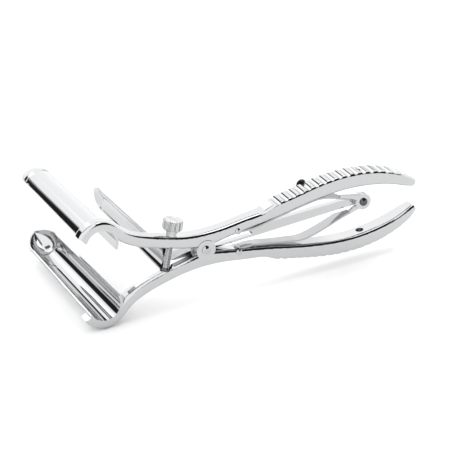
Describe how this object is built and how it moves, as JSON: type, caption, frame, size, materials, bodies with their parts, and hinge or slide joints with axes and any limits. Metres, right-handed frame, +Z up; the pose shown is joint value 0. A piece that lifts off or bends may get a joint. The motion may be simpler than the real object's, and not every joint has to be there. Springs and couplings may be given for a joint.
{
  "type": "three-blade anal speculum",
  "caption": "Hand-held surgical speculum: trough-shaped blades spread by a pair of sprung lever handles, a draw bar and a knurled thumb screw.",
  "frame": {"origin": "on the pivot screw's axis, in the middle plane of the levers", "axes": "+X along the handles, +Y along the blades away from the user, +Z up in the plane of the levers, towards the thumb screw"},
  "size_m": [0.1881, 0.0997, 0.0586],
  "materials": {
    "polished_steel": "mirror polished stainless steel",
    "knurled_steel": "satin knurled stainless steel",
    "spring_steel": "polished spring strip",
    "fastener_steel": "turned and polished screws and pins"
  },
  "bodies": {
    "lower_lever": {"lower_lever": "polished_steel", "lower_blade": "polished_steel", "pivot_screw": "fastener_steel", "pivot_nut": "fastener_steel", "lower_leaf_pin": "fastener_steel", "lower_handle_screw": "fastener_steel"},
    "upper_lever": {"upper_lever": "polished_steel", "upper_blade": "polished_steel", "upper_leaf_pin": "fastener_steel", "upper_handle_screw": "fastener_steel", "side_stud": "fastener_steel"},
    "bar_guide": {"bar_guide": "polished_steel"},
    "draw_bar": {"draw_bar": "polished_steel", "blade_carrier": "polished_steel", "carrier_rivet_front": "fastener_steel", "carrier_rivet_rear": "fastener_steel", "third_blade": "polished_steel", "rear_hinge_pin": "fastener_steel"},
    "upper_knuckle": {"upper_knuckle": "polished_steel"},
    "upper_leaf_spring": {"upper_leaf_spring": "spring_steel"},
    "lower_knuckle": {"lower_knuckle": "polished_steel"},
    "lower_leaf_spring": {"lower_leaf_spring": "spring_steel"},
    "screw_foot": {"screw_foot": "fastener_steel"},
    "thumb_screw": {"screw_rod": "fastener_steel", "thumb_knob": "knurled_steel"}
  },
  "joints": [
    {"name": "lever_pivot", "type": "hinge", "parent": "lower_lever", "child": "upper_lever", "pos_m": [0, 0, 0], "axis": [0, -1, 0], "range_deg": [0, 29], "deforming": ["upper_leaf_spring", "lower_leaf_spring"]},
    {"name": "guide_turn", "type": "hinge", "parent": "lower_lever", "child": "bar_guide", "pos_m": [0, 0, 0], "axis": [0, -1, 0], "range_deg": [0, 12.05]},
    {"name": "bar_slide", "type": "slide", "parent": "bar_guide", "child": "draw_bar", "axis": [0.999, 0, 0.0436], "range_m": [-0.02655, 0]},
    {"name": "upper_knuckle_turn", "type": "hinge", "parent": "draw_bar", "child": "upper_knuckle", "pos_m": [0.08991, 0, 0.00393], "axis": [0, -1, 0], "range_deg": [-62.9, 0]},
    {"name": "upper_leaf_bend", "type": "hinge", "parent": "upper_knuckle", "child": "upper_leaf_spring", "pos_m": [0.064, 0, 0.0112], "axis": [0, -1, 0], "range_deg": [0, 79.55]},
    {"name": "lower_knuckle_turn", "type": "hinge", "parent": "draw_bar", "child": "lower_knuckle", "pos_m": [0.08991, 0, 0.00393], "axis": [0, -1, 0], "range_deg": [0, 61.6]},
    {"name": "lower_leaf_bend", "type": "hinge", "parent": "lower_knuckle", "child": "lower_leaf_spring", "pos_m": [0.064, 0, -0.006], "axis": [0, -1, 0], "range_deg": [-80.84, 0]},
    {"name": "screw_travel", "type": "slide", "parent": "upper_lever", "child": "screw_foot", "axis": [0.213, 0, 0.977], "range_m": [0, 0.01243]},
    {"name": "screw_turn", "type": "hinge", "parent": "screw_foot", "child": "thumb_screw", "pos_m": [-0.02158, -0.0015, -0.00651], "axis": [0.213, 0, 0.977], "continuous": true}
  ],
  "couplings": [
    {"joint": "guide_turn", "follows": "lever_pivot", "ratio": 0.41379},
    {"joint": "bar_slide", "follows": "lever_pivot", "m_per_rad": -0.052357},
    {"joint": "upper_knuckle_turn", "follows": "lever_pivot", "ratio": -2.1645},
    {"joint": "upper_leaf_bend", "follows": "lever_pivot", "ratio": 2.7376},
    {"joint": "lower_knuckle_turn", "follows": "lever_pivot", "ratio": 2.12},
    {"joint": "lower_leaf_bend", "follows": "lever_pivot", "ratio": -2.7822},
    {"joint": "screw_travel", "follows": "lever_pivot", "m_per_rad": 0.024499}
  ]
}
